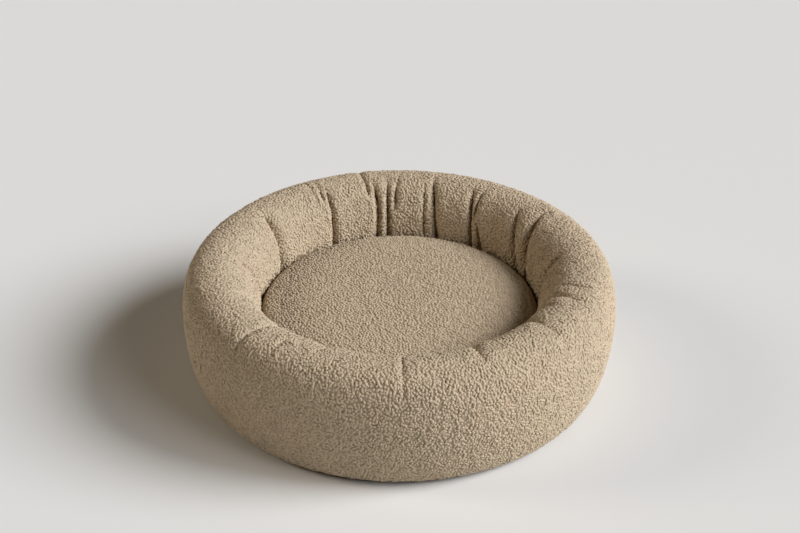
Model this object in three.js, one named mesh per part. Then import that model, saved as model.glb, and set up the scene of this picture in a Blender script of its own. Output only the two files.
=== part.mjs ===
// A round pet bed of boucle cloth: a filled ring that is gathered on its inner side, a domed cushion pressed
// into the ring, and the flat panel under both. Millimetres, +Z up, with the front at -Y and the origin on the
// floor under the middle of the bed.
import * as THREE from 'three';
import { ParametricGeometry } from 'three/addons/geometries/ParametricGeometry.js';

const { degToRad, radToDeg, smoothstep, lerp } = THREE.MathUtils;
const FULL_TURN = 360;
const HALF_TURN = 180;
const QUARTER_TURN = 90;

// The flat underside panel
const PANEL_RADIUS = 306;
const PANEL_THICKNESS = 3;
const PANEL_SIDES = 96;

// The gap kept between pieces that are sewn together or rest on each other
const SEAM_GAP = 0.3;

// The filled ring, measured on its section
const OUTER_RADIUS = 351.5;
const WIDEST_HEIGHT = 127;
const CREST_RADIUS = 298;
const CREST_HEIGHT = 210;
const INNER_RADIUS = 227;
const BULGE_HEIGHT = 118;
const FOOT_INNER_RADIUS = 262;
const FOOT_OUTER_RADIUS = 310;
const FOOT_HEIGHT = PANEL_THICKNESS + SEAM_GAP;

// The domed cushion, whose side stays just clear of the ring's inner wall
const CUSHION_CLEARANCE = 0.6;
const CUSHION_RADIUS = INNER_RADIUS - CUSHION_CLEARANCE;
const CUSHION_FOOT_RADIUS = 198;
const SHOULDER_HEIGHT = 108;
const CROWN_HEIGHT = 150;
const CUSHION_LANES = 72;

// Section angles of the ring: 0 is the outer wall, 90 the crest, 180 the inner wall and 270 the foot. The
// section is four quarters of a superellipse each: the shoulder, the inner roll, the inner wall down to the
// foot, and the outer wall up from it. The foot between the last two is flat.
const RING_QUARTERS = [
  { from: 0, radius: CREST_RADIUS, height: WIDEST_HEIGHT, fullness: 2.8, steps: 7,
    reach: OUTER_RADIUS - CREST_RADIUS, rise: CREST_HEIGHT - WIDEST_HEIGHT },
  { from: 90, radius: CREST_RADIUS, height: BULGE_HEIGHT, fullness: 2.23, steps: 10,
    reach: CREST_RADIUS - INNER_RADIUS, rise: CREST_HEIGHT - BULGE_HEIGHT },
  { from: 180, radius: FOOT_INNER_RADIUS, height: BULGE_HEIGHT, fullness: 2.2, steps: 6,
    reach: FOOT_INNER_RADIUS - INNER_RADIUS, rise: BULGE_HEIGHT - FOOT_HEIGHT },
  { from: 270, radius: FOOT_OUTER_RADIUS, height: WIDEST_HEIGHT, fullness: 2, steps: 6,
    reach: OUTER_RADIUS - FOOT_OUTER_RADIUS, rise: WIDEST_HEIGHT - FOOT_HEIGHT, afterFlat: true },
];

// The gathers of the inner wall and the creases on the crest, a row each. Turns are degrees round the bed from
// the front towards +X, at the crest and near the foot. A crease begins and ends at the section angles given.
// Depth and half width are millimetres.
const CREASE_COLUMNS = ['crestTurn', 'footTurn', 'begins', 'ends', 'depth', 'halfWidth'];
const CREASE_ROWS = [
  [1, 1.5, 40, 100, 9, 12],
  [22.5, 21, 62, 262, 9, 20],
  [47.8, 46, 56, 262, 10, 20],
  [65.5, 66, 70, 262, 8, 18],
  [92, 87, 96, 262, 8, 22],
  [122.8, 108.5, 80, 262, 12, 22],
  [128.5, 119, 100, 262, 9, 17],
  [147.3, 142, 94, 262, 11, 13],
  [150.5, 147, 97, 262, 13, 15],
  [167, 162.5, 96, 262, 14, 22],
  [171.5, 171, 106, 262, 5, 16],
  [181, 180.5, 92, 180, 7, 12],
  [185, 184.5, 100, 262, 15, 12],
  [189, 190, 106, 262, 15, 12],
  [192, 194, 56, 140, 9, 13],
  [208, 210, 96, 262, 14, 24],
  [213, 214, 86, 138, 8, 12],
  [237, 242, 98, 262, 11, 26],
  [269, 268, 106, 262, 6, 24],
  [290, 291, 96, 262, 11, 22],
  [313, 315, 90, 262, 10, 22],
  [336, 337, 80, 262, 11, 22],
];
const CREASES = CREASE_ROWS.map(row => Object.fromEntries(CREASE_COLUMNS.map((name, i) => [name, row[i]])));

// A crease fades in and out over these section angles. It is shallow on the crest, where the cloth is full,
// and takes its whole depth on the inner wall, where the cloth is gathered.
const FADE_IN = 20;
const FADE_OUT = 26;
const CREST_SHARE = 0.4;
const DEEPENING_STARTS = 95;
const DEEPENING_ENDS = 140;

// A crease leans from its crest turn to its foot turn between the crest and the wall, and back under the ring
const LEAN_ENDS = 190;
const LEAN_RETURNS = 250;

// The greatest pitch of the lanes between creases, in degrees, and the least number of lanes in a gap
const LANE_PITCH = 3;
const FEWEST_LANES = 4;

// The filling is a little uneven: soft hollows round the outer wall and in the cushion's top
const WALL_HOLLOWS = [{ waves: 4, phase: 40, depth: 1.2 }, { waves: 6, phase: 15, depth: 0.8 }];
const DOME_HOLLOWS = [{ waves: 3, phase: 70, depth: 1.6 }, { waves: 5, phase: 20, depth: 0.9 }];

// A point of a superellipse quarter at a section angle
function quarterPoint(quarter, angle) {
  const power = 2 / quarter.fullness;
  const across = Math.cos(degToRad(angle));
  const up = Math.sin(degToRad(angle));
  const radius = quarter.radius + quarter.reach * Math.sign(across) * Math.abs(across) ** power;
  const height = quarter.height + quarter.rise * Math.sign(up) * Math.abs(up) ** power;
  return { angle, radius, height };
}

// The stations once round the ring's section, each with the direction that points out of the filling
function ringStations() {
  const stations = RING_QUARTERS.flatMap(quarter => {
    const angles = [];
    for (let step = quarter.afterFlat ? 0 : 1; step <= quarter.steps; step++) {
      angles.push(quarter.from + QUARTER_TURN * step / quarter.steps);
    }
    return angles.map(angle => quarterPoint(quarter, angle));
  });
  return stations.map((station, i) => {
    const before = stations.at(i - 1);
    const after = stations[(i + 1) % stations.length];
    const length = Math.hypot(after.radius - before.radius, after.height - before.height);
    const outward = (after.height - before.height) / length;
    const upward = (before.radius - after.radius) / length;
    return { ...station, outward, upward };
  });
}

// The share of a crease's lean at a section angle
function leanShare(angle) {
  return smoothstep(angle, QUARTER_TURN, LEAN_ENDS) * (1 - smoothstep(angle, LEAN_RETURNS, FULL_TURN));
}

// The share of a crease's depth at a section angle
function depthShare(crease, angle) {
  const begun = smoothstep(angle, crease.begins, crease.begins + FADE_IN);
  const ended = smoothstep(angle, crease.ends - FADE_OUT, crease.ends);
  return begun * (1 - ended) * lerp(CREST_SHARE, 1, smoothstep(angle, DEEPENING_STARTS, DEEPENING_ENDS));
}

// The dent at a turn and station is that of the deepest crease there: a sharp valley whose two sides round off
// into pillows.
function creaseDent(turn, station) {
  const dents = CREASES.map(crease => {
    const centre = lerp(crease.crestTurn, crease.footTurn, leanShare(station.angle));
    const apart = Math.abs((turn - centre + FULL_TURN + HALF_TURN) % FULL_TURN - HALF_TURN);
    const side = Math.min(1, degToRad(apart) * station.radius / crease.halfWidth);
    return crease.depth * depthShare(crease, station.angle) * (1 - side) ** 2;
  });
  return Math.max(...dents);
}

// The depth of soft hollows at a turn
function hollowDent(hollows, turn) {
  const dents = hollows.map(({ waves, phase, depth }) =>
    depth * (1 - Math.cos(degToRad(waves * (turn - phase)))) / 2);
  return dents.reduce((sum, dent) => sum + dent);
}

// The lanes run across the ring's section: one down each crease, and more between, closest near the creases
function ringLanes() {
  return CREASES.flatMap((crease, i) => {
    const next = CREASES[(i + 1) % CREASES.length];
    const wrap = next.crestTurn < crease.crestTurn ? FULL_TURN : 0;
    const crestGap = next.crestTurn + wrap - crease.crestTurn;
    const footGap = next.footTurn + wrap - crease.footTurn;
    const steps = Math.max(FEWEST_LANES, Math.round(crestGap / LANE_PITCH));
    const lanes = [];
    for (let step = 0; step < steps; step++) {
      const share = (1 - Math.cos(Math.PI * step / steps)) / 2;
      lanes.push({ crest: crease.crestTurn + crestGap * share, foot: crease.footTurn + footGap * share });
    }
    return lanes;
  });
}

// The ring as a sheet that closes on itself both ways, round the bed and round the section
function ringGeometry() {
  const stations = ringStations();
  const lanes = ringLanes();
  const place = (roundBed, roundSection, target) => {
    const lane = lanes[Math.round(roundBed * lanes.length) % lanes.length];
    const station = stations[Math.round(roundSection * stations.length) % stations.length];
    const turn = lerp(lane.crest, lane.foot, leanShare(station.angle));
    const onOuterWall = Math.max(0, Math.cos(degToRad(station.angle)));
    const dent = creaseDent(turn, station) + onOuterWall * hollowDent(WALL_HOLLOWS, turn);
    const radius = station.radius - dent * station.outward;
    const height = station.height - dent * station.upward;
    target.set(radius * Math.sin(degToRad(turn)), -radius * Math.cos(degToRad(turn)), height);
  };
  return new ParametricGeometry(place, lanes.length, stations.length);
}

// The cushion's profile, from the middle of its flat underside, up its drawn-in side and over its dome
function cushionProfile() {
  const side = { radius: CUSHION_FOOT_RADIUS, height: SHOULDER_HEIGHT, fullness: 2.4,
    reach: CUSHION_RADIUS - CUSHION_FOOT_RADIUS, rise: SHOULDER_HEIGHT - FOOT_HEIGHT };
  const dome = { radius: 0, height: SHOULDER_HEIGHT, fullness: 3,
    reach: CUSHION_RADIUS, rise: CROWN_HEIGHT - SHOULDER_HEIGHT };
  const points = [
    { radius: 0, height: FOOT_HEIGHT },
    ...[270, 288, 306, 324, 342].map(angle => quarterPoint(side, angle)),
    ...[0, 6, 13, 21, 30, 40, 50, 60, 70, 80].map(angle => quarterPoint(dome, angle)),
    { radius: 0, height: CROWN_HEIGHT },
  ];
  return points.map(({ radius, height }) => new THREE.Vector2(radius, height));
}

// The cushion is turned from its profile, and its dome then sinks a little between the middle and the rim
function cushionGeometry() {
  const geometry = new THREE.LatheGeometry(cushionProfile(), CUSHION_LANES).rotateX(Math.PI / 2);
  const { position } = geometry.attributes;
  for (let i = 0; i < position.count; i++) {
    const turn = radToDeg(Math.atan2(position.getX(i), -position.getY(i)));
    const outShare = Math.hypot(position.getX(i), position.getY(i)) / CUSHION_RADIUS;
    const midway = Math.sin(Math.PI * Math.min(1, outShare));
    const onDome = smoothstep(position.getZ(i), SHOULDER_HEIGHT, CROWN_HEIGHT);
    position.setZ(i, position.getZ(i) - midway * onDome * hollowDent(DOME_HOLLOWS, turn));
  }
  return geometry;
}

function panelGeometry() {
  const panel = new THREE.CylinderGeometry(PANEL_RADIUS, PANEL_RADIUS, PANEL_THICKNESS, PANEL_SIDES);
  return panel.rotateX(Math.PI / 2).translate(0, 0, PANEL_THICKNESS / 2);
}

function namedPiece(name, geometry, material) {
  const mesh = new THREE.Mesh(geometry, material);
  mesh.name = name;
  return mesh;
}

const boucle = new THREE.MeshStandardMaterial({ color: '#c3ab88', roughness: 1, metalness: 0 });
const backing = new THREE.MeshStandardMaterial({ color: '#9a876a', roughness: 0.95, metalness: 0 });

const bed = new THREE.Group();
bed.add(
  namedPiece('ring_bolster', ringGeometry(), boucle),
  namedPiece('inner_cushion', cushionGeometry(), boucle),
  namedPiece('base_panel', panelGeometry(), backing),
);

export default bed;
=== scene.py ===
# %% [markdown]
# A round boucle pet bed
#
# The real bed is three things sewn into one. A filled ring of cloth runs round the outside, a domed
# cushion is pressed into the ring, and a flat panel closes the underside. The cloth is boucle: a knitted
# backing with short thick loops of yarn standing on it, so close together that the backing only shows as
# dark gaps. This lesson makes the padded shapes first, lets pressure fill them, and grows the loops last.

import math

import bpy
import numpy as np
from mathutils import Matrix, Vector


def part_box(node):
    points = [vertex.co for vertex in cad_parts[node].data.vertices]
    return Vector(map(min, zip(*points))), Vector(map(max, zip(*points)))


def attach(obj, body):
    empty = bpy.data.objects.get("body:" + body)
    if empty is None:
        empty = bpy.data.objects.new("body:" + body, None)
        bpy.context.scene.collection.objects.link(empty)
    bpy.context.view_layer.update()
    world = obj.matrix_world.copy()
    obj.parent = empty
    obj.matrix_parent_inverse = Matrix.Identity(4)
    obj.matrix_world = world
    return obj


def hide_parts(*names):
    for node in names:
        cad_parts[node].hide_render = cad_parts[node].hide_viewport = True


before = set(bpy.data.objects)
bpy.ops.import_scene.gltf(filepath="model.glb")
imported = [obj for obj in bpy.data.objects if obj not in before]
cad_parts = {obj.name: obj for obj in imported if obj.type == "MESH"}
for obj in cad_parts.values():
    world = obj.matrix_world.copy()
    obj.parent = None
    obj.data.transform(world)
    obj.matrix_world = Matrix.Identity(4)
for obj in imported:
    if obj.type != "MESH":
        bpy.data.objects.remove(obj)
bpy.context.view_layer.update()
print("frame nodes:", sorted(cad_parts))

# %% [markdown]
# The camera comes first, because every later choice of detail depends on how large a loop of yarn is in
# the picture. The bed is seen from its front and from above, with a long lens that keeps the ring nearly
# round.

# %% Place the camera
CAMERA_ELEVATION = 30.5
CAMERA_DISTANCE = 2.518
AIM = (0.0012, 0, 0.1934)
SENSOR_WIDTH = 36
LENS = 69.9


def stand_back(thing, aim, azimuth, elevation, distance):
    """Puts a camera or a lamp at a distance from a point, facing it. Azimuth 90 is at the right."""
    azimuth, elevation = math.radians(azimuth), math.radians(elevation)
    level = math.cos(elevation)
    back = Vector((math.sin(azimuth) * level, -math.cos(azimuth) * level, math.sin(elevation)))
    thing.location = Vector(aim) + back * distance
    thing.rotation_euler = (-back).to_track_quat("-Z", "Y").to_euler()


bpy.ops.object.camera_add()
camera = bpy.context.object
stand_back(camera, AIM, 0, CAMERA_ELEVATION, CAMERA_DISTANCE)
camera.data.sensor_width = SENSOR_WIDTH
camera.data.lens = LENS
bpy.context.scene.camera = camera
print("camera at", [round(x, 3) for x in camera.location])

# %% [markdown]
# The sizes are those of the frame, in metres. The ring's section is four quarters of a superellipse, a
# curve between an ellipse and a rectangle. Section angles run from the outer wall (0) over the crest (90)
# and down the inner wall (180) to the foot (270). The loops of yarn stand proud of the backing cloth, so
# the cloth lies that much inside the frame's solid and the tops of the loops reach its surface.

# %% Sizes of the ring and its section
PILE = 0.0022
OUTER_RADIUS = 0.3515
WIDEST_HEIGHT = 0.127
CREST_RADIUS = 0.298
INNER_RADIUS = 0.227
BULGE_HEIGHT = 0.118
FOOT_INNER_RADIUS = 0.262
FOOT_OUTER_RADIUS = 0.310
foot_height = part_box("ring_bolster")[0].z
crest_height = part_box("ring_bolster")[1].z

# Each quarter's centre, its reach and rise from there, and how full its curve is
SECTION_QUARTERS = np.array([
    [CREST_RADIUS, WIDEST_HEIGHT, OUTER_RADIUS - PILE, crest_height - PILE, 2.8],
    [CREST_RADIUS, BULGE_HEIGHT, INNER_RADIUS + PILE, crest_height - PILE, 2.23],
    [FOOT_INNER_RADIUS, BULGE_HEIGHT, INNER_RADIUS + PILE, foot_height, 2.2],
    [FOOT_OUTER_RADIUS, WIDEST_HEIGHT, OUTER_RADIUS - PILE, foot_height, 2.0],
])
QUARTER = 90
FULL_TURN = 360
NUDGE = 0.5


def superellipse(angle, quarters):
    """Radius and height at section angles, in degrees, for a table of quarters."""
    quarter = quarters[(angle // QUARTER).astype(int) % len(quarters)]
    centre_radius, centre_height, far_radius, far_height, fullness = quarter.T
    across = np.abs(np.cos(np.radians(angle))) ** (2 / fullness)
    up = np.abs(np.sin(np.radians(angle))) ** (2 / fullness)
    radius = centre_radius + (far_radius - centre_radius) * across
    height = centre_height + (far_height - centre_height) * up
    return radius, height


def section_normal(angle, quarters):
    """The direction out of the filling, as its radial and upward parts."""
    before = superellipse((angle - NUDGE) % FULL_TURN, quarters)
    after = superellipse((angle + NUDGE) % FULL_TURN, quarters)
    radial, upward = after[1] - before[1], before[0] - after[0]
    length = np.maximum(np.hypot(radial, upward), 1e-9)
    return radial / length, upward / length


print("inner wall at", superellipse(np.array([180.0]), SECTION_QUARTERS))

# %% [markdown]
# An operator works on what is active and selected, as a hand on the mouse would, so a few helpers set that
# up. Points are read and written all at once, which is far quicker than one by one. An attribute keeps a
# value on each point of a mesh.

# %% Help with selecting, points and attributes


def deselect_all():
    if bpy.context.mode != "OBJECT":
        bpy.ops.object.mode_set(mode="OBJECT")
    bpy.ops.object.select_all(action="DESELECT")


def make_active(thing):
    deselect_all()
    thing.select_set(True)
    bpy.context.view_layer.objects.active = thing


def edit_all(thing):
    """Opens a piece in edit mode with everything selected."""
    make_active(thing)
    bpy.ops.object.mode_set(mode="EDIT")
    bpy.ops.mesh.select_all(action="SELECT")


def select_points(thing, chosen):
    """Opens a piece in edit mode with only the chosen points selected."""
    edit_all(thing)
    bpy.ops.mesh.select_all(action="DESELECT")
    bpy.ops.object.mode_set(mode="OBJECT")
    thing.data.vertices.foreach_set("select", chosen)
    bpy.ops.object.mode_set(mode="EDIT")


def points_of(thing):
    """The points of a mesh, as rows of x, y and z."""
    found = np.empty(len(thing.data.vertices) * 3, np.float32)
    thing.data.vertices.foreach_get("co", found)
    return found.reshape(-1, 3).astype(float)


def place_points(thing, places):
    thing.data.vertices.foreach_set("co", places.astype(np.float32).ravel())
    thing.data.update()


def read_attribute(thing, name):
    found = np.empty(len(thing.data.vertices), np.float32)
    thing.data.attributes[name].data.foreach_get("value", found)
    return found.astype(float)


def write_attribute(thing, name, values):
    layer = thing.data.attributes.get(name) or thing.data.attributes.new(name, "FLOAT", "POINT")
    layer.data.foreach_set("value", values.astype(np.float32))


print("helpers are ready in", bpy.context.mode, "mode")

# %% [markdown]
# The section starts as a circle whose points are moved onto the superellipse, and spin turns it round the
# bed. A torus would be quicker to add, but its round section has no flat foot and no upright inner wall.
# Each point keeps its section angle as an attribute, which spin copies, so that later steps know where
# they are. Spin and merge leave the faces in another order each time, and the cloth and the scattering
# follow that order. So the mesh is rebuilt with its faces sorted, and every run gives the same bed.

# %% Make ready to spin a section round the bed
MERGE_WITHIN = 1e-5


def settle_order(thing):
    """Rebuilds a mesh with its faces sorted, each starting at the point that comes first in the mesh."""
    places = points_of(thing)
    angles = read_attribute(thing, "section_angle")
    faces = []
    for face in thing.data.polygons:
        corners = list(face.vertices)
        first = corners.index(min(corners))
        faces.append(corners[first:] + corners[:first])
    thing.data.clear_geometry()
    thing.data.from_pydata(places, [], sorted(faces))
    write_attribute(thing, "section_angle", angles)


def spin_profile(name, angles, radius, height, steps):
    """A closed profile, drawn as a circle with its points moved, and spun once round the bed."""
    deselect_all()
    bpy.ops.mesh.primitive_circle_add(vertices=len(angles), radius=OUTER_RADIUS)
    piece = bpy.context.object
    piece.name = name
    place_points(piece, np.stack([np.zeros_like(radius), -radius, height], 1))
    write_attribute(piece, "section_angle", angles)
    edit_all(piece)
    bpy.ops.mesh.spin(steps=steps, angle=math.radians(FULL_TURN), center=(0, 0, 0), axis=(0, 0, 1))
    bpy.ops.mesh.select_all(action="SELECT")
    bpy.ops.mesh.remove_doubles(threshold=MERGE_WITHIN)
    bpy.ops.mesh.normals_make_consistent(inside=False)
    bpy.ops.object.mode_set(mode="OBJECT")
    settle_order(piece)
    return piece


def turn_of(points):
    """Degrees round the bed from the front towards the right-hand side."""
    return np.degrees(np.arctan2(points[:, 0], -points[:, 1])) % FULL_TURN


print("points within", MERGE_WITHIN * 1000, "mm are merged")

# %% [markdown]
# The ring's inner wall is gathered where it is sewn down beside the cushion. Each gather is a sharp
# valley between two pillows of filling, and some run up over the crest. They are listed going round the
# bed. The mesh follows them: its lanes bend so that one lane runs down the bottom of each valley, which
# keeps a valley sharp with few faces. Cutting them in later would leave a saw-tooth along each slanting
# gather.

# %% List the gathers and bend the lanes to them
# Turns at the crest, half way down and at the cushion, section angles where a gather begins and ends,
# its depth and its half width in metres
GATHERS = np.array([
    [0.9, 0.9, 0.9, 26, 116, 0.012, 0.012],
    [23.4, 24.4, 21, 62, 262, 0.015, 0.018],
    [48.1, 50, 46, 52, 262, 0.015, 0.018],
    [59.5, 61.5, 60, 94, 150, 0.010, 0.012],
    [66.3, 69.5, 68, 60, 262, 0.015, 0.016],
    [73.5, 77, 81, 62, 128, 0.014, 0.012],
    [96, 96, 91.5, 100, 262, 0.012, 0.020],
    [122.5, 119.2, 113, 78, 262, 0.017, 0.018],
    [132, 128, 120.5, 98, 262, 0.012, 0.016],
    [143.5, 146, 142.2, 140, 262, 0.012, 0.012],
    [147.8, 148, 145, 84, 158, 0.010, 0.012],
    [153, 150.2, 147.5, 88, 262, 0.016, 0.014],
    [168, 166, 163.8, 84, 262, 0.015, 0.016],
    [170.5, 170, 169, 96, 190, 0.007, 0.010],
    [180, 181.8, 182.6, 82, 160, 0.011, 0.012],
    [184, 184.7, 185, 82, 262, 0.014, 0.012],
    [190.5, 188.9, 189.7, 92, 262, 0.015, 0.012],
    [192.8, 192.2, 194.2, 46, 136, 0.014, 0.012],
    [207.5, 208.2, 209.5, 90, 262, 0.015, 0.011],
    [209.4, 210.7, 212, 74, 138, 0.012, 0.012],
    [212, 213.8, 215, 54, 128, 0.008, 0.012],
    [235.8, 237, 239.2, 86, 262, 0.017, 0.020],
    [266, 265.3, 263.5, 104, 262, 0.010, 0.018],
    [290, 290, 291, 96, 262, 0.011, 0.022],
    [313.8, 314, 315, 16, 262, 0.015, 0.016],
    [324.5, 325, 325, 52, 112, 0.010, 0.010],
    [336, 336, 337, 80, 262, 0.011, 0.022],
])
SECTION_POINTS = 84
LANE_PITCH = 1.15
FEWEST_LANES = 4
CROWDING = 0.6
LEADS_BACK_FROM = 250


def smoothstep(values, low, high):
    share = np.clip((values - low) / (high - low), 0, 1)
    return share * share * (3 - 2 * share)


def wandering_turn(angle, crest_turn, middle_turn, foot_turn):
    """Where a gather runs at each section angle. Under the ring it leads back to its turn at the crest."""
    down = np.clip((angle - QUARTER) / QUARTER, 0, 1)
    turn = crest_turn * (1 - down) * (1 - 2 * down)
    turn = turn + middle_turn * 4 * down * (1 - down) + foot_turn * down * (2 * down - 1)
    return turn + (crest_turn - turn) * smoothstep(angle, LEADS_BACK_FROM, FULL_TURN)


def lanes_round():
    """The three turns of each lane, which are closest beside a gather."""
    lanes = []
    for gather, following in zip(GATHERS, np.roll(GATHERS, -1, axis=0)):
        gaps = (following[:3] - gather[:3]) % FULL_TURN
        steps = max(FEWEST_LANES, round(gaps[0] / LANE_PITCH))
        share = np.arange(steps) / steps
        share -= CROWDING * np.sin(2 * np.pi * share) / (2 * np.pi)
        lanes.append(gather[:3] + gaps * share[:, None])
    return np.concatenate(lanes)


lanes = lanes_round()
angles = np.arange(SECTION_POINTS) * FULL_TURN / SECTION_POINTS
ring_cover = spin_profile("ring_cover", angles, *superellipse(angles, SECTION_QUARTERS), len(lanes))
spun = points_of(ring_cover)
lane = lanes[np.round(turn_of(spun) / FULL_TURN * len(lanes)).astype(int) % len(lanes)]
angle = read_attribute(ring_cover, "section_angle")
turn = wandering_turn(angle, *lane.T)
write_attribute(ring_cover, "turn", turn)
print("ring cloth:", len(spun), "points in", len(lanes), "lanes, section angles", angle.min(), angle.max())

# %% [markdown]
# A gather is pressed in along the normal of the section. It is deepest in the middle and rounds off into
# the pillows. Its depth fades in from the crest, and wanders a little on the way, as hand-fed cloth does.

# %% Press the gathers in
FADE_IN = 34
FADE_OUT = 26
CREST_SHARE = 0.4
DEEPENS_FROM, DEEPENS_TO = 92, 130
SLIT = 0.4
SLIT_NARROWER = 2.3
SLIT_REACH = 0.006
FOOT_HELD = 0.001
# How much the depth wanders, how often in a degree, and how far apart two gathers are in that
WANDERS = ((0.14, 5, 77), (0.08, 11, 31))


def apart_from(turn, centre):
    """Signed degrees between two turns."""
    return (turn - centre + FULL_TURN / 2) % FULL_TURN - FULL_TURN / 2


def gather_dents(turn, angle, radius):
    """For each gather, how deep it is at each point, and how near the point is to its middle line."""
    dents, nearness = [], []
    for row, (*turns, begins, ends, depth, half_width) in enumerate(GATHERS):
        centre = wandering_turn(angle, *turns)
        side = np.abs(np.radians(apart_from(turn, centre))) * radius / half_width
        share = smoothstep(angle, begins, begins + FADE_IN) * (1 - smoothstep(angle, ends - FADE_OUT, ends))
        share = share * (CREST_SHARE + (1 - CREST_SHARE) * smoothstep(angle, DEEPENS_FROM, DEEPENS_TO))
        wander = 1
        for size, pace, apart in WANDERS:
            wander = wander + size * np.sin(np.radians(angle * pace + row * apart))
        pillow_edge = (1 - np.clip(side, 0, 1)) ** 2
        slit = (1 - np.clip(side * SLIT_NARROWER, 0, 1)) ** 2
        valley = (1 - SLIT) * pillow_edge + SLIT * slit
        dents.append(depth * share * wander * valley)
        nearness.append(share * (1 - np.clip(side * half_width / SLIT_REACH, 0, 1)))
    return np.array(dents), np.array(nearness)


radius, height = superellipse(angle, SECTION_QUARTERS)
radial, upward = section_normal(angle, SECTION_QUARTERS)
dents, nearness = gather_dents(turn, angle, radius)
dent = dents.max(0)
slit = nearness.max(0)
held = np.maximum(slit, (height < foot_height + FOOT_HELD).astype(float))
pressed_radius = radius - dent * radial
pressed_height = height - dent * upward
place_points(ring_cover, np.stack([
    pressed_radius * np.sin(np.radians(turn)),
    -pressed_radius * np.cos(np.radians(turn)),
    pressed_height,
], 1))
print("deepest gather:", round(float(dent.max()) * 1000, 1), "mm; points held:", int((held > 0.5).sum()))

# %% [markdown]
# Filling does not follow a formula. Blender's cloth does it, with pressure inside and no gravity. Its
# last shape is taken, and the modifier is dropped again, so that nothing is left to simulate. How far a
# point may move is limited smoothly.

# %% Make ready to fill a piece with pressure
LAST_FRAME = 20
WEIGHT_STEPS = 20


def soften(thing, name, weights):
    """Makes a vertex group from weights between 0 and 1, in steps."""
    group = thing.vertex_groups.new(name=name)
    for step in range(1, WEIGHT_STEPS + 1):
        members = np.flatnonzero(np.round(weights * WEIGHT_STEPS) == step)
        if len(members):
            group.add(members.tolist(), step / WEIGHT_STEPS, "REPLACE")
    return group


def fill_with_pressure(thing, pressure, cap, pins=None, looser=None, looseness=0.0):
    """Runs the cloth, then moves each point towards its filled place by less than the cap."""
    cloth = thing.modifiers.new("filling", "CLOTH")
    settings = cloth.settings
    settings.quality = 6
    settings.mass = 0.3
    settings.tension_stiffness = 12
    settings.compression_stiffness = 12
    settings.shear_stiffness = 5
    settings.bending_stiffness = 0.1
    settings.use_pressure = True
    settings.uniform_pressure_force = pressure
    settings.effector_weights.gravity = 0
    cloth.collision_settings.use_collision = False
    if pins is not None:
        settings.vertex_group_mass = soften(thing, "pins", pins).name
    if looser is not None:
        settings.vertex_group_shrink = soften(thing, "looser", looser).name
        settings.shrink_min = 0.0
        settings.shrink_max = -looseness
    cloth.point_cache.frame_start = 1
    cloth.point_cache.frame_end = LAST_FRAME
    start = points_of(thing)
    for step in range(1, LAST_FRAME + 1):
        bpy.context.scene.frame_set(step)
    filled = thing.evaluated_get(bpy.context.evaluated_depsgraph_get())
    moved = points_of(filled) - start
    far = np.linalg.norm(moved, axis=1)
    print("cloth moved", round(far.mean() * 1000, 2), "mm on average, at most", round(far.max() * 1000, 2))
    thing.modifiers.remove(cloth)
    thing.vertex_groups.clear()
    place_points(thing, start + moved * (cap * np.tanh(far / cap) / np.maximum(far, 1e-9))[:, None])
    bpy.context.scene.frame_set(1)


print("the cloth runs for", LAST_FRAME, "frames")

# %% [markdown]
# Pressure swells the pillows between the gathers, which are pinned as their stitches would pin them. The
# cloth on the inner wall is made a little larger than the wall, so it settles into small folds, as on the
# real bed.

# %% Let pressure fill the ring
RING_PRESSURE, RING_CAP = 25, 0.006
INNER_WALL_FROM, INNER_WALL_TO = (80, 120), (200, 240)
LOOSENESS = 0.08

inner_wall = smoothstep(angle, *INNER_WALL_FROM) * (1 - smoothstep(angle, *INNER_WALL_TO))
fill_with_pressure(ring_cover, RING_PRESSURE, RING_CAP, held, inner_wall, LOOSENESS)
bpy.ops.object.shade_smooth()
print("ring filled from", points_of(ring_cover).min(0).round(4), "to", points_of(ring_cover).max(0).round(4))

# %% [markdown]
# The cushion is a plump disc. Its profile is spun like the ring's, then a voxel remesh gives it even
# faces with no pole in the middle, so pressure swells it evenly. It starts a little thin, because it
# swells. Its side is pressed against the ring until the loops of both interlock, so the clearance between
# the two is negative.

# %% Spin the cushion and give it even faces
CUSHION_CLEARANCE = -0.0013
CUSHION_FOOT_RADIUS = 0.198
SHOULDER_HEIGHT = 0.108
CUSHION_VOXEL = 0.007
CUSHION_STEPS = 96
DOME_POINTS, SIDE_POINTS = 24, 12
SWELL = 0.0028
cushion_low, cushion_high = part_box("inner_cushion")
CUSHION_SIDE = INNER_RADIUS - CUSHION_CLEARANCE - PILE
CUSHION_QUARTERS = np.array([
    [0, SHOULDER_HEIGHT, CUSHION_SIDE, cushion_high.z - PILE - SWELL, 3.3],
    [0, SHOULDER_HEIGHT, CUSHION_SIDE, cushion_high.z - PILE - SWELL, 3.3],
    [CUSHION_FOOT_RADIUS, SHOULDER_HEIGHT, CUSHION_SIDE, cushion_low.z, 2.4],
    [CUSHION_FOOT_RADIUS, SHOULDER_HEIGHT, CUSHION_SIDE, cushion_low.z, 2.4],
])
dome_angles = np.linspace(QUARTER, 0, DOME_POINTS)
side_angles = np.linspace(FULL_TURN, FULL_TURN - QUARTER, SIDE_POINTS)[1:]
half_profile = np.concatenate([dome_angles, side_angles % FULL_TURN])
cushion_radius, cushion_height = superellipse(half_profile, CUSHION_QUARTERS)
cushion_radius[0] = 0
# One more point at the bottom of the axis closes the profile
half_profile = np.append(half_profile, 0)
cushion_radius = np.append(cushion_radius, 0)
cushion_height = np.append(cushion_height, cushion_low.z)
cushion_cover = spin_profile("cushion_cover", half_profile, cushion_radius, cushion_height, CUSHION_STEPS)
remesh = cushion_cover.modifiers.new("even faces", "REMESH")
remesh.mode = "VOXEL"
remesh.voxel_size = CUSHION_VOXEL
make_active(cushion_cover)
bpy.ops.object.modifier_apply(modifier=remesh.name)
print("cushion cloth:", len(cushion_cover.data.vertices), "points")

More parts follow.
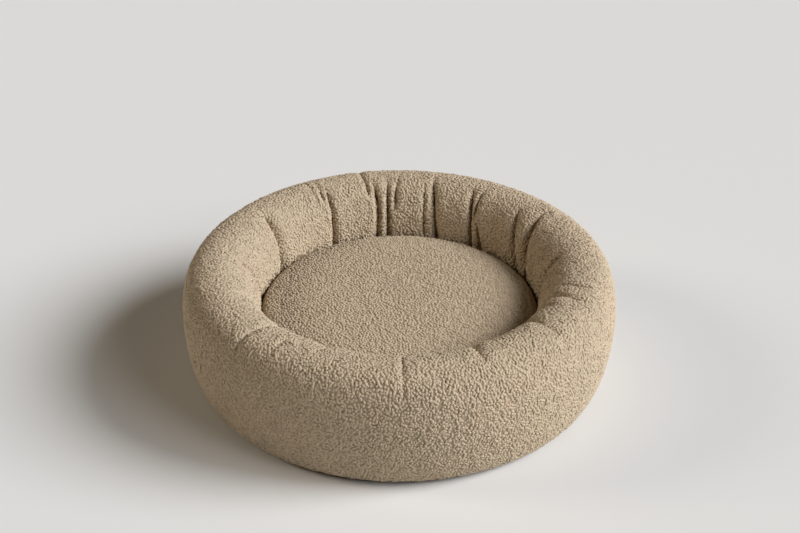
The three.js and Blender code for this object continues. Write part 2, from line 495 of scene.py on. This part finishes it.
# %% [markdown]
# Only the dome swells. The side is pinned, because on the real bed the ring presses on it all round, and
# that keeps the narrow dark slit where the cushion meets the ring.

# %% Let pressure fill the cushion
PINNED_BELOW, FREE_ABOVE = 0.116, 0.138
CUSHION_PRESSURE, CUSHION_CAP = 2.5, 0.004

pinned = 1 - smoothstep(points_of(cushion_cover)[:, 2], PINNED_BELOW, FREE_ABOVE)
fill_with_pressure(cushion_cover, CUSHION_PRESSURE, CUSHION_CAP, pinned)
make_active(cushion_cover)
bpy.ops.object.shade_smooth()
print("cushion reaches", points_of(cushion_cover)[:, 2].max().round(4), "of", round(cushion_high.z, 4))

# %% [markdown]
# The flat panel under the bed is hidden in use, and is the plainest piece: a disc of strong woven cloth
# with its edge turned over and sewn down. A circle is extruded to the panel's thickness, its underside is
# inset for the hem and the sewn groove, and its rim is bevelled. A lathe-like spin would do too, but
# leaves a pole of thin faces.

# %% Make the panel under the bed
panel_low, panel_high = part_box("base_panel")
PANEL_RADIUS = panel_high.x
PANEL_SIDES = 192
HEM_WIDTH = 0.012
GROOVE_WIDTH = 0.003
GROOVE_DEPTH = 0.0009
PLAIN_RINGS = (0.03, 0.08)
TURNED_EDGE = 0.0011
SHARP, SMOOTH = 50, 30
groove_radius = PANEL_RADIUS - HEM_WIDTH - GROOVE_WIDTH / 2


def select_faces(thing, chosen):
    """Opens a piece in edit mode with only the chosen faces selected."""
    edit_all(thing)
    bpy.ops.mesh.select_mode(type="FACE")
    bpy.ops.mesh.select_all(action="DESELECT")
    bpy.ops.object.mode_set(mode="OBJECT")
    for face in thing.data.polygons:
        face.select = chosen(face)
    bpy.ops.object.mode_set(mode="EDIT")


deselect_all()
bpy.ops.mesh.primitive_circle_add(vertices=PANEL_SIDES, radius=PANEL_RADIUS, fill_type="NGON")
panel = bpy.context.object
panel.name = "base_cloth"
edit_all(panel)
bpy.ops.transform.translate(value=(0, 0, panel_low.z))
bpy.ops.mesh.extrude_region_move(TRANSFORM_OT_translate={"value": (0, 0, panel_high.z - panel_low.z)})
bpy.ops.mesh.select_all(action="SELECT")
bpy.ops.mesh.normals_make_consistent(inside=False)
select_faces(panel, lambda face: face.normal.z < -0.9)
for width in (HEM_WIDTH, GROOVE_WIDTH / 2, GROOVE_WIDTH / 2, *PLAIN_RINGS):
    bpy.ops.mesh.inset(thickness=width)
bpy.ops.mesh.select_mode(type="VERT")
bpy.ops.object.mode_set(mode="OBJECT")

places = points_of(panel)
reach = np.hypot(places[:, 0], places[:, 1])
in_groove = (np.abs(reach - groove_radius) < GROOVE_WIDTH / 4) & (places[:, 2] < panel_low.z + GROOVE_DEPTH)
select_points(panel, in_groove)
bpy.ops.transform.translate(value=(0, 0, GROOVE_DEPTH))
bpy.ops.object.mode_set(mode="OBJECT")
rounding = panel.modifiers.new("turned edge", "BEVEL")
rounding.width = TURNED_EDGE
rounding.segments = 3
rounding.limit_method = "ANGLE"
rounding.angle_limit = math.radians(SHARP)
make_active(panel)
bpy.ops.object.modifier_apply(modifier=rounding.name)
bpy.ops.object.shade_smooth_by_angle(angle=math.radians(SMOOTH))
print("panel:", len(panel.data.polygons), "faces,", int(in_groove.sum()), "points lifted for the groove")

# %% [markdown]
# The hem is held by a row of stitches. One is modelled, a small spindle sunk in the groove so that the
# bed still stands flat, and spin copies it round the panel: with dupli, spin leaves copies instead of
# joining them.

# %% Sew the stitches round the panel
STITCHES = 230
STITCH_LENGTH = 0.0062
STITCH_WIDTH = 0.0012
STITCH_THICKNESS = STITCH_WIDTH * 0.7
STITCH_SUNK = STITCH_WIDTH * 0.4
deselect_all()
bpy.ops.mesh.primitive_uv_sphere_add(segments=6, ring_count=5, radius=0.5, rotation=(0, math.pi / 2, 0))
stitches = bpy.context.object
stitches.name = "base_stitches"
bpy.ops.object.transform_apply(rotation=True)
stitches.dimensions = (STITCH_LENGTH, STITCH_WIDTH, STITCH_THICKNESS)
bpy.ops.object.transform_apply(scale=True)
edit_all(stitches)
bpy.ops.transform.translate(value=(0, -groove_radius, panel_low.z + STITCH_SUNK))
bpy.ops.mesh.spin(
    steps=STITCHES - 1,
    dupli=True,
    angle=math.tau * (STITCHES - 1) / STITCHES,
    center=(0, 0, 0),
    axis=(0, 0, 1),
)
bpy.ops.mesh.select_all(action="SELECT")
bpy.ops.mesh.normals_make_consistent(inside=False)
bpy.ops.object.mode_set(mode="OBJECT")
bpy.ops.object.shade_smooth()
print("stitches:", len(stitches.data.vertices), "points, lowest", points_of(stitches)[:, 2].min().round(5))

# %% [markdown]
# A loop of yarn is a short bent worm. A sphere of four sides and four rings is the least mesh that can
# bend: its rings are moved sideways and down at the ends, so that both ends dive into the backing. Six
# forms are enough, because each copy is turned and sized at random. With thousands of copies, finer forms
# would be a waste.

# %% Model six loops of yarn
LOOP_LENGTH = 0.0074
LOOP_WIDTH = 0.0047
LOOP_HEIGHT = 0.0031
LOOP_LIFT = 0.0006
STATION_RISE = (-0.58, -0.12, 0.06, -0.12, -0.58)
STATION_GIRTH = (1.0, 1.2, 1.05, 1.2, 1.0)
# How far each of the five stations of a loop goes ahead and sideways, in loop widths
LOOP_FORMS = {
    "comma": [(0, -0.4), (0, -0.1), (0, 0.15), (0, 0), (0, -0.35)],
    "wave": [(0, 0.35), (0, 0.2), (0, 0), (0, -0.2), (0, -0.4)],
    "hook": [(0.3, -0.65), (0.05, -0.25), (0, 0.2), (0, 0.2), (0, 0)],
    "bean": [(0.3, -0.25), (0.15, -0.05), (0, 0.12), (-0.15, -0.05), (-0.3, -0.3)],
    "slug": [(0, 0.15), (0, 0.1), (0, 0), (0, -0.12), (0, -0.1)],
    "knot": [(0.5, 0.3), (0.25, 0.1), (0, -0.1), (-0.25, 0.15), (-0.5, 0.4)],
}
loop_shelf = bpy.data.collections.new("loop forms")
bpy.context.scene.collection.children.link(loop_shelf)


def model_loop(name, shifts):
    deselect_all()
    bpy.ops.mesh.primitive_uv_sphere_add(segments=4, ring_count=4, radius=0.5, rotation=(0, math.pi / 2, 0))
    loop = bpy.context.object
    loop.name = name
    bpy.ops.object.transform_apply(rotation=True)
    loop.dimensions = (LOOP_LENGTH, LOOP_WIDTH, LOOP_HEIGHT)
    bpy.ops.object.transform_apply(scale=True)
    along = points_of(loop)[:, 0]
    stations = np.unique(along.round(5))
    for place, (ahead, sideways), rise, girth in zip(stations, shifts, STATION_RISE, STATION_GIRTH):
        select_points(loop, np.abs(along - place) < 1e-4)
        bpy.ops.transform.resize(value=(1, girth, girth))
        bpy.ops.transform.translate(value=[x * LOOP_WIDTH for x in (ahead, sideways, rise)])
        bpy.ops.object.mode_set(mode="OBJECT")
    place_points(loop, points_of(loop) + (0, 0, LOOP_LIFT))
    height = points_of(loop)[:, 2]
    write_attribute(loop, "loop_height", (height - height.min()) / np.ptp(height))
    bpy.ops.object.shade_smooth()
    return loop


for name, shifts in LOOP_FORMS.items():
    loop = model_loop(name, shifts)
    for shelf in loop.users_collection:
        shelf.objects.unlink(loop)
    loop_shelf.objects.link(loop)
    loop.hide_render = True
    print(name, [round(x * 1000, 1) for x in loop.dimensions], "mm")

# %% [markdown]
# A material is a tree of nodes. A few helpers add a node with its values, mix two colours and add a bump,
# so that each finish below reads as a short list.

# %% Help with nodes


def add_node(tree, kind, **values):
    """Adds a node. A name in values is a socket's name, or one of the node's own settings."""
    node = tree.nodes.new(kind)
    for name, value in values.items():
        if hasattr(node, name):
            setattr(node, name, value)
        else:
            node.inputs[name.replace("_", " ")].default_value = value
    return node


def new_finish(name, roughness=1.0, specular=0.2):
    """A new material, as itself, its node tree and its shader."""
    finish = bpy.data.materials.new(name)
    finish.use_nodes = True
    shader = finish.node_tree.nodes["Principled BSDF"]
    shader.inputs["Roughness"].default_value = roughness
    shader.inputs["Specular IOR Level"].default_value = specular
    return finish, finish.node_tree, shader


def mix_colours(tree, share, first, second, blend="MIX"):
    """Mixes two colours, each a socket or three numbers. The share is a socket or a number."""
    mix = add_node(tree, "ShaderNodeMix", data_type="RGBA", blend_type=blend)
    for socket, value in ((mix.inputs[0], share), (mix.inputs[6], first), (mix.inputs[7], second)):
        if isinstance(value, bpy.types.NodeSocket):
            tree.links.new(value, socket)
        elif isinstance(value, tuple):
            socket.default_value = (*value, 1)
        else:
            socket.default_value = value
    return mix.outputs[2]


def add_bump(tree, shader, height, strength, distance):
    bump = add_node(tree, "ShaderNodeBump", Strength=strength, Distance=distance)
    tree.links.new(height, bump.inputs["Height"])
    tree.links.new(bump.outputs["Normal"], shader.inputs["Normal"])


print("materials so far:", len(bpy.data.materials))

# %% [markdown]
# Yarn is matt. Its colour differs a little from loop to loop, and drifts over the bed between a pinker
# and a greener sand, as dyed cloth does. The roots of the loops are painted darker than their tops, as
# painted shade, most of all where the pile is deep and little light reaches them. A fine bump stands for
# the fibres. The random tone of a loop, the height on it and the depth of the pile come from attributes
# that the copies carry.

# %% Make the yarn
YARN_DARK = (0.525, 0.418, 0.298)
YARN_LIGHT = (0.565, 0.452, 0.324)
PINKER = (1.03, 0.99, 0.985)
GREENER = (0.97, 1.005, 0.975)
# How dark the painted shade at the roots of the loops gets
ROOT_SHADE = 0.78
DRIFT_SCALE = 9.0
FIBRE_SCALE = 1100.0


def drift_colour(tree, place, colour):
    """Lets a colour drift between pinker and greener over a hand's breadth."""
    drift = add_node(tree, "ShaderNodeTexNoise", Scale=DRIFT_SCALE, Detail=2.0)
    tree.links.new(place, drift.inputs["Vector"])
    tint = mix_colours(tree, drift.outputs["Fac"], PINKER, GREENER)
    return mix_colours(tree, 1.0, colour, tint, "MULTIPLY")


yarn, tree, shader = new_finish("boucle yarn")
place = add_node(tree, "ShaderNodeTexCoord").outputs["Object"]
loop_shade = add_node(tree, "ShaderNodeAttribute", attribute_name="loop_shade").outputs["Fac"]
loop_height = add_node(tree, "ShaderNodeAttribute", attribute_name="loop_height").outputs["Fac"]
depth = add_node(tree, "ShaderNodeAttribute", attribute_name="pile_depth").outputs["Fac"]
# Painted shade: the loops darken towards their roots, more where the pile is deep.
root = add_node(tree, "ShaderNodeMapRange", From_Min=0.15, From_Max=0.7, To_Min=ROOT_SHADE, To_Max=1.0)
tree.links.new(loop_height, root.inputs["Value"])
colour = mix_colours(tree, loop_shade, YARN_DARK, YARN_LIGHT)
colour = mix_colours(tree, depth, colour, mix_colours(tree, 1.0, colour, root.outputs["Result"], "MULTIPLY"))
tree.links.new(drift_colour(tree, place, colour), shader.inputs["Base Color"])
fibres = add_node(tree, "ShaderNodeTexNoise", Scale=FIBRE_SCALE, Detail=2.0)
tree.links.new(place, fibres.inputs["Vector"])
add_bump(tree, shader, fibres.outputs["Fac"], 0.3, 0.0004)
shader.inputs["Sheen Weight"].default_value = 0.05
shader.inputs["Sheen Roughness"].default_value = 0.6
print("yarn nodes:", len(tree.nodes))

# %% [markdown]
# The backing that the loops stand on is knitted. Only specks of it show between the loops, and it lies
# bare where the cloth is pressed deep into a gather, and in the slit between the cushion and the ring,
# where an attribute darkens it as painted shade. Its colours are darker than the yarn's, painted shade for
# the gaps between the loops, and darker still under deep pile. Voronoi cells of the size of a knitted
# stitch give its bump.

# %% Make the knitted backing
# The knit's colours are darker than the yarn's: painted shade for the gaps between the loops, besides the
# knit's own pattern of stitches and gaps.
KNIT_TOP = (0.46, 0.366, 0.258)
KNIT_GAP = (0.40, 0.318, 0.224)
# Painted shade: the backing darkens by this in deep gathers and in the slit between the cushion and the
# ring.
PAINTED_SHADE_IN_FOLDS = (0.4, 0.37, 0.32)
# Painted shade: the backing darkens by this where the pile stands deep.
SHADE_PAINTED_UNDER_PILE = (0.95, 0.945, 0.94)
FOLD_SHADE = 0.3
STITCHES_PER_METRE = 520.0
# Degrees further down the inner wall for each metre of a gather's depth
DEEPER_IN_A_GATHER = 700
SLIT_BEGINS, SLIT_DARK = 172, 178
SLIT_FLOOR, SLIT_TOP = 0.104, 0.112
PILE_BEGINS_OUTSIDE = 283

backing, tree, shader = new_finish("boucle backing")
place = add_node(tree, "ShaderNodeTexCoord").outputs["Object"]
knit = add_node(tree, "ShaderNodeTexVoronoi", Scale=STITCHES_PER_METRE)
tree.links.new(place, knit.inputs["Vector"])
painted_shade_mask = add_node(tree, "ShaderNodeAttribute", attribute_name="slit").outputs["Fac"]
colour = mix_colours(tree, knit.outputs["Distance"], KNIT_TOP, KNIT_GAP)
depth = add_node(tree, "ShaderNodeAttribute", attribute_name="pile_depth").outputs["Fac"]
# Painted shade: darker where the pile is deep
colour = mix_colours(tree, depth, colour, mix_colours(tree, 1.0, colour, SHADE_PAINTED_UNDER_PILE, "MULTIPLY"))
# Painted shade in the gathers and in the slit
colour = mix_colours(tree, painted_shade_mask, colour, mix_colours(tree, 1.0, colour, PAINTED_SHADE_IN_FOLDS, "MULTIPLY"))
tree.links.new(drift_colour(tree, place, colour), shader.inputs["Base Color"])
add_bump(tree, shader, knit.outputs["Distance"], 0.5, -0.0006)
for cover in (ring_cover, cushion_cover):
    cover.data.materials.append(backing)
# Painted shade: the cushion darkens low on its side and the ring low on its inner wall, where the two meet,
# and the ring also along its gathers.
painted_shade_by_ring = 1 - smoothstep(points_of(cushion_cover)[:, 2], SLIT_FLOOR, SLIT_TOP)
above_slit = angle - DEEPER_IN_A_GATHER * dent
painted_shade_by_cushion = smoothstep(above_slit, SLIT_BEGINS, SLIT_DARK) * (angle < PILE_BEGINS_OUTSIDE)
write_attribute(ring_cover, "slit", np.maximum(slit * FOLD_SHADE, painted_shade_by_cushion))
write_attribute(cushion_cover, "slit", painted_shade_by_ring)
print("backing nodes:", len(tree.nodes))

# %% [markdown]
# The panel is plain woven. Two wave textures at right angles stand for warp and weft, and their larger
# value is the thread on top. The sewing thread is a twisted one, shown by slanting bands.

# %% Make the woven cloth and the thread
THREAD_PITCH = 0.0016
WAVE_SCALE = math.tau / 20 / THREAD_PITCH
WEAVE_TOP = (0.36, 0.285, 0.19)
WEAVE_GAP = (0.22, 0.17, 0.11)
SEWING_THREAD = (0.50, 0.40, 0.27)
SEWING_THREAD_GAP = tuple(x * 0.8 for x in SEWING_THREAD)

weave, tree, shader = new_finish("woven base cloth", 0.9)
place = add_node(tree, "ShaderNodeTexCoord").outputs["Object"]
threads = []
for direction in ("X", "Y"):
    thread = add_node(tree, "ShaderNodeTexWave", bands_direction=direction, Scale=WAVE_SCALE, Distortion=0.6)
    tree.links.new(place, thread.inputs["Vector"])
    threads.append(thread.outputs["Fac"])
on_top = add_node(tree, "ShaderNodeMath", operation="MAXIMUM")
for number, thread in enumerate(threads):
    tree.links.new(thread, on_top.inputs[number])
colour = mix_colours(tree, on_top.outputs[0], WEAVE_GAP, WEAVE_TOP)
tree.links.new(drift_colour(tree, place, colour), shader.inputs["Base Color"])
add_bump(tree, shader, on_top.outputs[0], 0.6, 0.0003)
panel.data.materials.append(weave)

thread, tree, shader = new_finish("sewing thread", 0.7, 0.4)
place = add_node(tree, "ShaderNodeTexCoord").outputs["Object"]
twist = add_node(tree, "ShaderNodeTexWave", bands_direction="DIAGONAL", Scale=WAVE_SCALE * 2.5)
tree.links.new(place, twist.inputs["Vector"])
colour = mix_colours(tree, twist.outputs["Fac"], SEWING_THREAD, SEWING_THREAD_GAP)
tree.links.new(colour, shader.inputs["Base Color"])
add_bump(tree, shader, twist.outputs["Fac"], 0.5, 0.0002)
stitches.data.materials.append(thread)
print("threads every", THREAD_PITCH * 1000, "mm")

# %% [markdown]
# Where does a loop stand? Everywhere that shows: not on the underside, not low on the inner wall behind
# the cushion, and less at the very bottom of a gather. An attribute on the cloth keeps that as a density
# from 0 to 1. A second attribute says how deep the pile is. It is full on the outer wall, and pressed
# flatter on the inner wall and on the cushion, where a pet lies.

# %% Say where the pile grows
PILE_ENDS_INSIDE = 180
CUSHION_PILE_ABOVE = 0.102
BARE_SLIT = 0.85
THINNEST = 0.05
FLATTENS_FROM, FLATTENS_TO = 55, 100
FLAT_PILE = 0.65

angle = read_attribute(ring_cover, "section_angle")
grows = (angle < PILE_ENDS_INSIDE + DEEPER_IN_A_GATHER * dent) | (angle > PILE_BEGINS_OUTSIDE)
thinned = np.clip((slit - BARE_SLIT) / (1 - BARE_SLIT), 0, 1 - THINNEST)
write_attribute(ring_cover, "pile", grows * (1 - thinned))
write_attribute(cushion_cover, "pile", (points_of(cushion_cover)[:, 2] > CUSHION_PILE_ABOVE).astype(float))
deep = 1 - (1 - FLAT_PILE) * smoothstep(angle, FLATTENS_FROM, FLATTENS_TO) * (angle < PILE_BEGINS_OUTSIDE)
write_attribute(ring_cover, "pile_depth", deep)
write_attribute(cushion_cover, "pile_depth", np.full(len(cushion_cover.data.vertices), FLAT_PILE))
print("pile on", round(float(grows.mean()) * 100), "% of the ring's points")

# %% [markdown]
# Geometry Nodes scatters the loops. Poisson scattering keeps a least distance between them, so the pile
# is even but never in rows. A particle system would do it too, but Geometry Nodes can make the copies
# real in one go. The pile stands a little higher in some tufts than in others, which a noise adds along
# the cloth's normal.

# %% Scatter points on the cloth
LOOP_SPACING = 0.0034
MOST_LOOPS_PER_METRE = 120000
LOOP_SEED = 7
TUFT_SCALE = 90.0


def scatter_points(tree, cloth):
    scatter = add_node(
        tree,
        "GeometryNodeDistributePointsOnFaces",
        distribute_method="POISSON",
        Distance_Min=LOOP_SPACING,
        Density_Max=MOST_LOOPS_PER_METRE,
        Seed=LOOP_SEED,
    )
    density = add_node(tree, "GeometryNodeInputNamedAttribute", data_type="FLOAT", Name="pile")
    tree.links.new(cloth, scatter.inputs["Mesh"])
    tree.links.new(density.outputs["Attribute"], scatter.inputs["Density Factor"])
    return scatter


def raise_tufts(tree, scatter, tuft_height):
    """Moves the points out along the normal, by a soft noise."""
    tufts = add_node(tree, "ShaderNodeTexNoise", Scale=TUFT_SCALE, Detail=1.0)
    tree.links.new(add_node(tree, "GeometryNodeInputPosition").outputs[0], tufts.inputs["Vector"])
    height = add_node(tree, "ShaderNodeMath", operation="MULTIPLY_ADD")
    height.inputs[1].default_value = tuft_height
    height.inputs[2].default_value = -tuft_height / 2
    tree.links.new(tufts.outputs["Fac"], height.inputs[0])
    along = add_node(tree, "ShaderNodeVectorMath", operation="SCALE")
    tree.links.new(scatter.outputs["Normal"], along.inputs[0])
    tree.links.new(height.outputs[0], along.inputs["Scale"])
    move = add_node(tree, "GeometryNodeSetPosition")
    tree.links.new(scatter.outputs["Points"], move.inputs["Geometry"])
    tree.links.new(along.outputs[0], move.inputs["Offset"])
    return move.outputs["Geometry"]


print("loops at least", LOOP_SPACING * 1000, "mm apart")

# %% [markdown]
# One mesh of nearly thirty thousand loops is slow to handle, so the ring's pile is cut into sectors, like
# slices of a cake. All sectors scatter the same points and each keeps its own slice, so no seam shows
# between them.

# %% Keep one slice of the points


def keep_slice(tree, points, number, slices):
    """Deletes the points outside one slice, found from their bearing round the bed."""
    parts = add_node(tree, "ShaderNodeSeparateXYZ")
    tree.links.new(add_node(tree, "GeometryNodeInputPosition").outputs[0], parts.inputs[0])
    bearing = add_node(tree, "ShaderNodeMath", operation="ARCTAN2")
    tree.links.new(parts.outputs["X"], bearing.inputs[0])
    tree.links.new(parts.outputs["Y"], bearing.inputs[1])
    share = add_node(tree, "ShaderNodeMath", operation="MULTIPLY_ADD")
    share.inputs[1].default_value = slices / math.tau
    share.inputs[2].default_value = slices / 2 - number
    tree.links.new(bearing.outputs[0], share.inputs[0])
    whole = add_node(tree, "ShaderNodeMath", operation="FLOOR")
    tree.links.new(share.outputs[0], whole.inputs[0])
    outside = add_node(tree, "FunctionNodeCompare", data_type="FLOAT", operation="NOT_EQUAL", Epsilon=0.1)
    tree.links.new(whole.outputs[0], outside.inputs[0])
    keep = add_node(tree, "GeometryNodeDeleteGeometry", domain="POINT")
    tree.links.new(points, keep.inputs["Geometry"])
    tree.links.new(outside.outputs[0], keep.inputs["Selection"])
    return keep.outputs["Geometry"]


print("slices are cut by bearing")

# %% [markdown]
# Each point gets one of the six forms. A loop stands on the cloth's normal, lies roughly along the nap,
# the way that the cloth was brushed, and leans and swells at random. Its shade is stored with it for the
# yarn's colour.

# %% Stand a loop on each point
LEAN = 0.22
SMALLEST, LARGEST = (0.78, 0.85, 0.8), (1.2, 1.15, 1.15)


def random_node(tree, data_type, seed, least, most):
    number = {"FLOAT_VECTOR": 0, "FLOAT": 2, "INT": 4}[data_type]
    node = add_node(tree, "FunctionNodeRandomValue", data_type=data_type, Seed=seed)
    node.inputs[number].default_value = least
    node.inputs[number + 1].default_value = most
    return {"FLOAT_VECTOR": node.outputs[0], "FLOAT": node.outputs[1], "INT": node.outputs[2]}[data_type]


def keep_on_loops(tree, loops, name, data_type, value):
    """Stores a value on each loop, which the realized mesh then carries on its points."""
    store = add_node(
        tree, "GeometryNodeStoreNamedAttribute", data_type=data_type, domain="INSTANCE", Name=name)
    tree.links.new(loops, store.inputs["Geometry"])
    tree.links.new(value, store.inputs["Value"])
    return store.outputs["Geometry"]


def stand_loops(tree, points, scatter, nap, spread, thickness):
    forms = add_node(tree, "GeometryNodeCollectionInfo", Separate_Children=True, Reset_Children=True)
    forms.inputs["Collection"].default_value = loop_shelf
    along = add_node(tree, "FunctionNodeAlignRotationToVector", axis="X", pivot_axis="Z", Vector=nap)
    tree.links.new(scatter.outputs["Rotation"], along.inputs["Rotation"])
    turned = add_node(tree, "FunctionNodeRotateRotation", rotation_space="LOCAL")
    tree.links.new(along.outputs[0], turned.inputs["Rotation"])
    lean = random_node(tree, "FLOAT_VECTOR", 12, (-LEAN, -LEAN, -spread), (LEAN, LEAN, spread))
    tree.links.new(lean, turned.inputs["Rotate By"])
    size = random_node(tree, "FLOAT_VECTOR", 13, SMALLEST, LARGEST)
    thicker = add_node(tree, "ShaderNodeVectorMath", operation="MULTIPLY")
    thicker.inputs[1].default_value = thickness
    tree.links.new(size, thicker.inputs[0])
    depth = add_node(tree, "GeometryNodeInputNamedAttribute", data_type="FLOAT", Name="pile_depth")
    flatter = add_node(tree, "ShaderNodeCombineXYZ", X=1.0, Y=1.0)
    tree.links.new(depth.outputs["Attribute"], flatter.inputs["Z"])
    pressed = add_node(tree, "ShaderNodeVectorMath", operation="MULTIPLY")
    tree.links.new(thicker.outputs[0], pressed.inputs[0])
    tree.links.new(flatter.outputs[0], pressed.inputs[1])
    stand = add_node(tree, "GeometryNodeInstanceOnPoints", Pick_Instance=True)
    tree.links.new(points, stand.inputs["Points"])
    tree.links.new(forms.outputs["Instances"], stand.inputs["Instance"])
    tree.links.new(random_node(tree, "INT", 11, 0, len(LOOP_FORMS) - 1), stand.inputs["Instance Index"])
    tree.links.new(turned.outputs["Rotation"], stand.inputs["Rotation"])
    tree.links.new(pressed.outputs[0], stand.inputs["Scale"])
    shade = random_node(tree, "FLOAT", 14, 0.0, 1.0)
    loops = keep_on_loops(tree, stand.outputs["Instances"], "loop_shade", "FLOAT", shade)
    loops = keep_on_loops(tree, loops, "cloth_normal", "FLOAT_VECTOR", scatter.outputs["Normal"])
    real = add_node(tree, "GeometryNodeRealizeInstances")
    tree.links.new(loops, real.inputs["Geometry"])
    return real.outputs["Geometry"]


print("a loop leans up to", round(math.degrees(LEAN)), "degrees")

# %% [markdown]
# Yarn is a cloud of fibres. Light gets into its side and comes out all round, so a loop shades more
# softly than a smooth worm of the same shape would. Subsurface scattering could do that, but it is slow
# on so many loops. Here the normals, which shading goes by, are turned part of the way to the normal of
# the cloth under the loop, as is often done for leaves on a bush. The gaps between the loops keep their
# real shadows.

# %% Soften the shading of the loops
FLUFFINESS = 0.35


def bend_normals(pile):
    """Turns the normals of the loops part of the way to the normal of the cloth under them."""
    own = np.empty(len(pile.data.vertices) * 3, np.float32)
    cloth = np.empty_like(own)
    pile.data.vertex_normals.foreach_get("vector", own)
    pile.data.attributes["cloth_normal"].data.foreach_get("vector", cloth)
    bent = ((1 - FLUFFINESS) * own + FLUFFINESS * cloth).reshape(-1, 3)
    bent /= np.maximum(np.linalg.norm(bent, axis=1), 1e-6)[:, None]
    pile.data.normals_split_custom_set_from_vertices(bent)
    pile.data.attributes.remove(pile.data.attributes["cloth_normal"])


print("normals turn", round(FLUFFINESS * 100), "% towards the cloth's")

# %% [markdown]
# The tree starts from a copy of the cloth and ends with the loops alone, which the modifier then makes
# real. The ring's loops hang down and turn nearly as they like. The cushion's are lower, and lie more
# along one way, as if smoothed by hand.

# %% Grow the pile
RING_SLICES = 5
RING_NAP, RING_SPREAD, RING_THICKNESS, RING_TUFTS = (0, 0, -1), 1.2, (1.05, 1.0, 0.85), 0.0026
CUSHION_NAP, CUSHION_SPREAD, CUSHION_THICKNESS, CUSHION_TUFTS = (0.8, -0.6, 0), 0.5, (1, 0.95, 1.0), 0.0014


def grow_pile(cover, name, number, slices, nap, spread, thickness, tuft_height):
    tree = bpy.data.node_groups.new(name, "GeometryNodeTree")
    for in_out in ("INPUT", "OUTPUT"):
        tree.interface.new_socket("Geometry", in_out=in_out, socket_type="NodeSocketGeometry")
    scatter = scatter_points(tree, add_node(tree, "NodeGroupInput").outputs[0])
    points = raise_tufts(tree, scatter, tuft_height)
    if slices > 1:
        points = keep_slice(tree, points, number, slices)
    loops = stand_loops(tree, points, scatter, nap, spread, thickness)
    tree.links.new(loops, add_node(tree, "NodeGroupOutput").inputs[0])
    deselect_all()
    pile = bpy.data.objects.new(name, cover.data.copy())
    bpy.context.scene.collection.objects.link(pile)
    pile.modifiers.new("grow", "NODES").node_group = tree
    make_active(pile)
    bpy.ops.object.modifier_apply(modifier="grow")
    bend_normals(pile)
    pile.data.materials.clear()
    pile.data.materials.append(yarn)
    print(name, len(pile.data.polygons), "faces")
    return pile


ring_piles = [
    grow_pile(
        ring_cover, f"ring_pile_{n + 1}", n, RING_SLICES, RING_NAP, RING_SPREAD, RING_THICKNESS, RING_TUFTS)
    for n in range(RING_SLICES)
]
cushion_pile = grow_pile(
    cushion_cover, "cushion_pile", 0, 1, CUSHION_NAP, CUSHION_SPREAD, CUSHION_THICKNESS, CUSHION_TUFTS)

# %% [markdown]
# The main light comes from the right. It is two suns, a strong one and a weaker one nearer the front, and
# each has a wide disc, so that its shadows are soft. It rakes the front of the ring, where the loops
# stand out. Suns light the whole floor evenly, where a lamp would leave a bright patch under it. A weak
# warm sun from the left and a dim warm sky stand for light thrown back from all round, and keep the shade
# readable. The floor is plain and pale.

# %% Light the bed and lay the floor
SUNS = {
    # Strength, azimuth, elevation, spread and colour
    "main_light": (3.55, 85, 33, 30, (0.95, 0.97, 1.0)),
    "front_light": (0.98, 55, 33, 30, (0.95, 0.97, 1.0)),
    "room_light": (0.76, -92, 30, 20, (1.0, 0.89, 0.72)),
}
SKY_COLOUR = (1.0, 0.74, 0.42)
SKY_STRENGTH = 0.02
SUN_DISTANCE = 6.0
FLOOR_SIZE = 60
FLOOR_COLOUR = (0.80, 0.79, 0.775)

for name, (strength, azimuth, elevation, spread, colour) in SUNS.items():
    bpy.ops.object.light_add(type="SUN")
    sun = bpy.context.object
    sun.name = name
    sun.data.energy = strength
    sun.data.angle = math.radians(spread)
    sun.data.color = colour
    stand_back(sun, (0, 0, 0), azimuth, elevation, SUN_DISTANCE)
world = bpy.data.worlds.new("soft sky")
bpy.context.scene.world = world
world.use_nodes = True
world.node_tree.nodes["Background"].inputs["Color"].default_value = (*SKY_COLOUR, 1)
world.node_tree.nodes["Background"].inputs["Strength"].default_value = SKY_STRENGTH
bpy.context.scene.view_settings.view_transform = "Standard"

deselect_all()
bpy.ops.mesh.primitive_plane_add(size=FLOOR_SIZE)
floor = bpy.context.object
floor.name = "floor"
floor_paint, tree, shader = new_finish("pale floor", 0.9)
shader.inputs["Base Color"].default_value = (*FLOOR_COLOUR, 1)
floor.data.materials.append(floor_paint)
print("suns:", {name: values[0] for name, values in SUNS.items()}, "sky", SKY_STRENGTH)

# %% [markdown]
# Last, each piece says what it belongs to. Everything is one body, because nothing on the bed moves. The
# covers and their pile stand for the plain solids of the frame, which stay in the physics model for
# collision.

# %% Tie the pieces to the frame
for cover, piles, node, slot, fill in (
    (ring_cover, ring_piles, "ring_bolster", "boucle_ring", 0.85),
    (cushion_cover, [cushion_pile], "inner_cushion", "boucle_cushion", 0.7),
):
    for piece in (cover, *piles):
        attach(piece, "root")
        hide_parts(node)
for piece in (panel, stitches):
    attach(piece, "root")
    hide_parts("base_panel")
